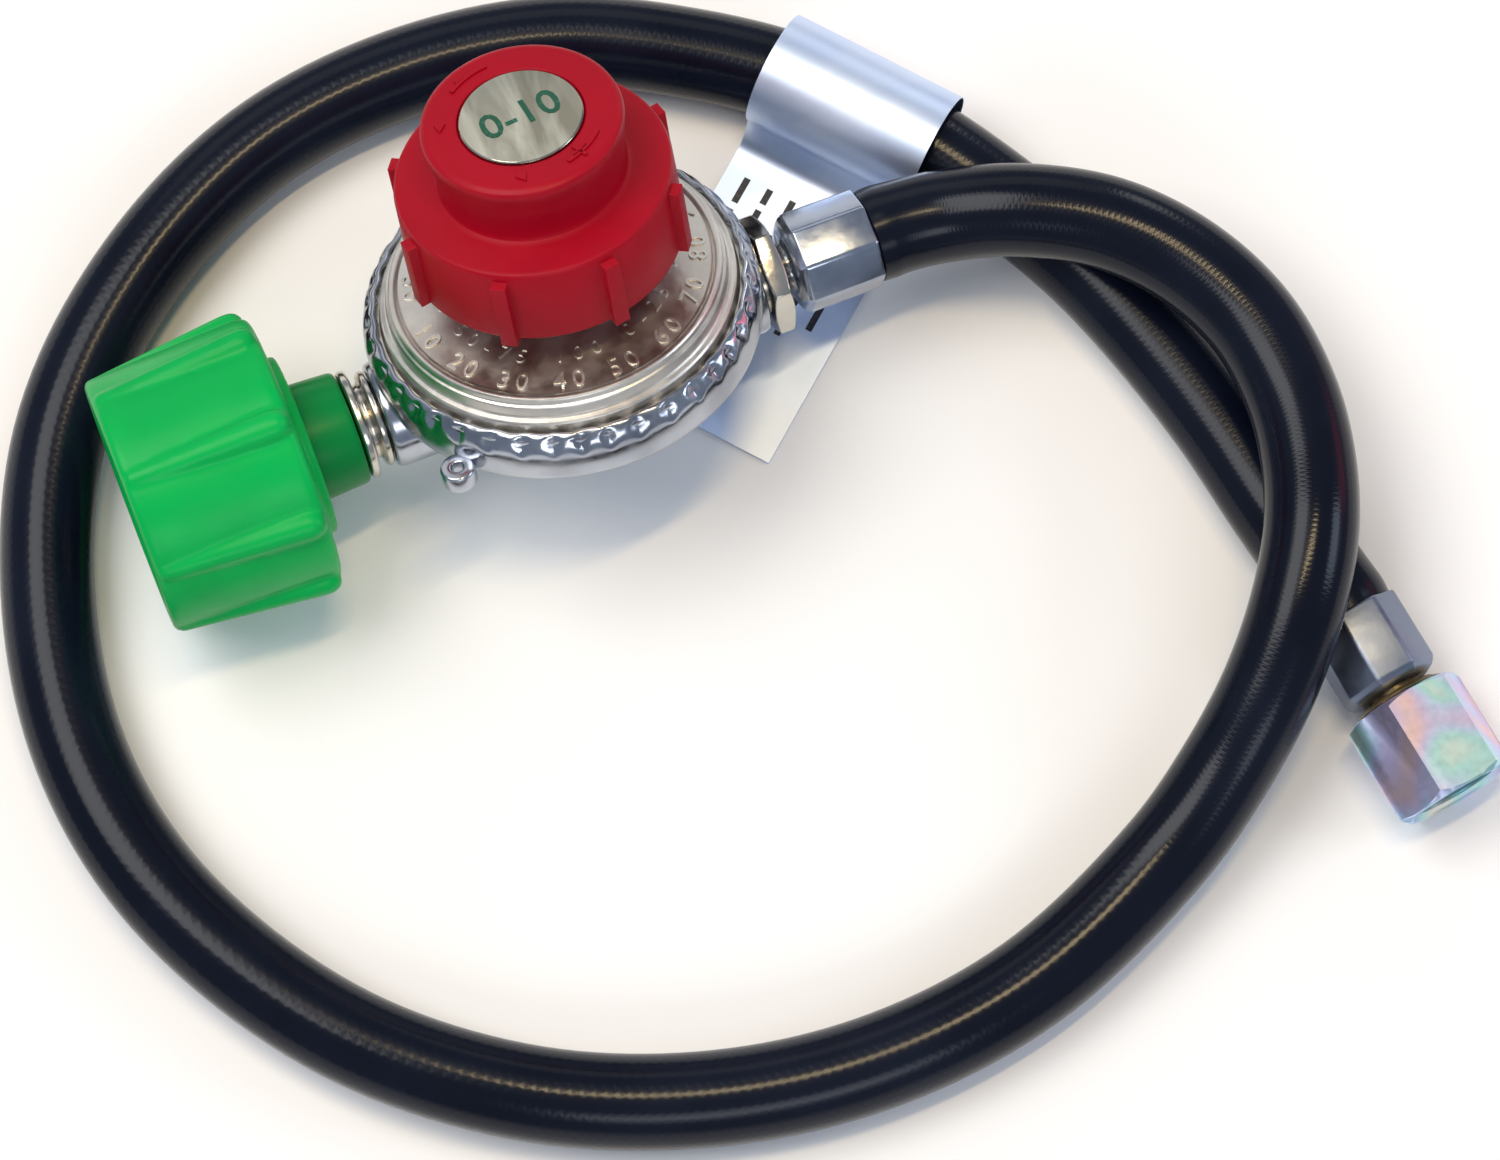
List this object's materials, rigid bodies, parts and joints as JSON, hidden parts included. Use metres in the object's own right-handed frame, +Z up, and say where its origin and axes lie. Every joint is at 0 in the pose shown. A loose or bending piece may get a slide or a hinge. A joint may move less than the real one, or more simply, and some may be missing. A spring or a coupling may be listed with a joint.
{
  "type": "propane regulator hose",
  "caption": "Adjustable gas regulator with a turning control knob, ribbed cylinder coupling nut, flexible rubber hose, swivel end nut and foil tag.",
  "frame": {"origin": "on the table, under the middle of the regulator and its coupling nut, measured without the hose, its end fitting and its tag", "axes": "+X from the coupling nut towards the hose outlet, +Z up from the table; the regulator lies leaning towards +Y"},
  "size_m": [0.229, 0.2071, 0.0812],
  "materials": {
    "red_plastic": "satin",
    "disc_foil": "mirror",
    "green_plastic": "gloss",
    "cast_zinc": "satin cast",
    "chromed_zinc": "polished",
    "nickel": "satin",
    "brass": "machined",
    "spring_steel": "plain",
    "yellow_zinc": "iridescent passivate",
    "black_rubber": "satin",
    "nitrile": "matt",
    "silver_film": "foil"
  },
  "bodies": {
    "regulator_body": {"lower_body": "chromed_zinc", "bonnet": "cast_zinc", "vent_screen": "spring_steel", "diaphragm": "nitrile", "orifice": "brass", "lever_pin": "spring_steel", "main_spring": "spring_steel", "inlet_nipple": "nickel", "nose_seal": "nitrile", "flow_retainer": "brass", "flow_stop": "brass", "flow_spring": "spring_steel", "outlet_nipple": "nickel", "outlet_ferrule": "nickel", "hose": "black_rubber", "end_ferrule": "nickel", "end_stem": "brass", "foil_tag": "silver_film"},
    "bushing": {"thermal_bushing": "green_plastic"},
    "nut": {"coupling_nut": "green_plastic"},
    "flow_valve": {"flow_poppet": "brass"},
    "screw_seat": {"spring_seat": "spring_steel"},
    "knob_unit": {"knob": "red_plastic", "knob_disc": "disc_foil", "adjusting_screw": "brass"},
    "diaphragm_unit": {"diaphragm_plate": "spring_steel", "diaphragm_stem": "brass"},
    "lever": {"lever": "spring_steel"},
    "valve": {"valve_plug": "brass", "valve_seat": "nitrile"},
    "end_nut": {"swivel_nut": "yellow_zinc"}
  },
  "joints": [
    {"name": "knob_travel", "type": "slide", "parent": "regulator_body", "child": "screw_seat", "axis": [-0.0402, -0.3907, -0.9196], "range_m": [0, 0.0075], "deforming": ["main_spring"]},
    {"name": "knob_turn", "type": "hinge", "parent": "screw_seat", "child": "knob_unit", "pos_m": [0.01413, 0.01021, 0.06008], "axis": [-0.0402, -0.3907, -0.9196], "range_deg": [0, 1801]},
    {"name": "diaphragm_lift", "type": "slide", "parent": "regulator_body", "child": "diaphragm_unit", "axis": [0.0402, 0.3907, 0.9196], "range_m": [-0.0004, 0.0008], "stiffness_N_per_m": 1500, "deforming": ["diaphragm"]},
    {"name": "lever_pivot", "type": "hinge", "parent": "regulator_body", "child": "lever", "pos_m": [0.00087, -0.00698, 0.02012], "axis": [0.017, -0.9205, 0.3904], "range_deg": [-2.2, 4.2]},
    {"name": "valve_slide", "type": "slide", "parent": "regulator_body", "child": "valve", "axis": [-0.999, 0, 0.0436], "range_m": [-0.00015, 0.0003]},
    {"name": "flow_valve_slide", "type": "slide", "parent": "regulator_body", "child": "flow_valve", "axis": [0.999, 0, -0.0436], "range_m": [0, 0.002], "stiffness_N_per_m": 60, "deforming": ["flow_spring"]},
    {"name": "nut_slide", "type": "slide", "parent": "regulator_body", "child": "bushing", "axis": [-0.999, 0, 0.0436], "range_m": [0, 0.0025]},
    {"name": "nut_spin", "type": "hinge", "parent": "bushing", "child": "nut", "pos_m": [-0.04742, -0.00542, 0.02592], "axis": [0.999, 0, -0.0436], "continuous": true},
    {"name": "swivel_nut_spin", "type": "hinge", "parent": "regulator_body", "child": "end_nut", "pos_m": [0.12112, -0.1212, 0.01005], "axis": [0.1271, -0.9919, 0], "continuous": true}
  ],
  "couplings": [
    {"joint": "knob_turn", "follows": "knob_travel", "rad_per_m": 4188.8},
    {"joint": "lever_pivot", "follows": "diaphragm_lift", "rad_per_m": 86.957},
    {"joint": "valve_slide", "follows": "diaphragm_lift", "ratio": 0.34783}
  ]
}
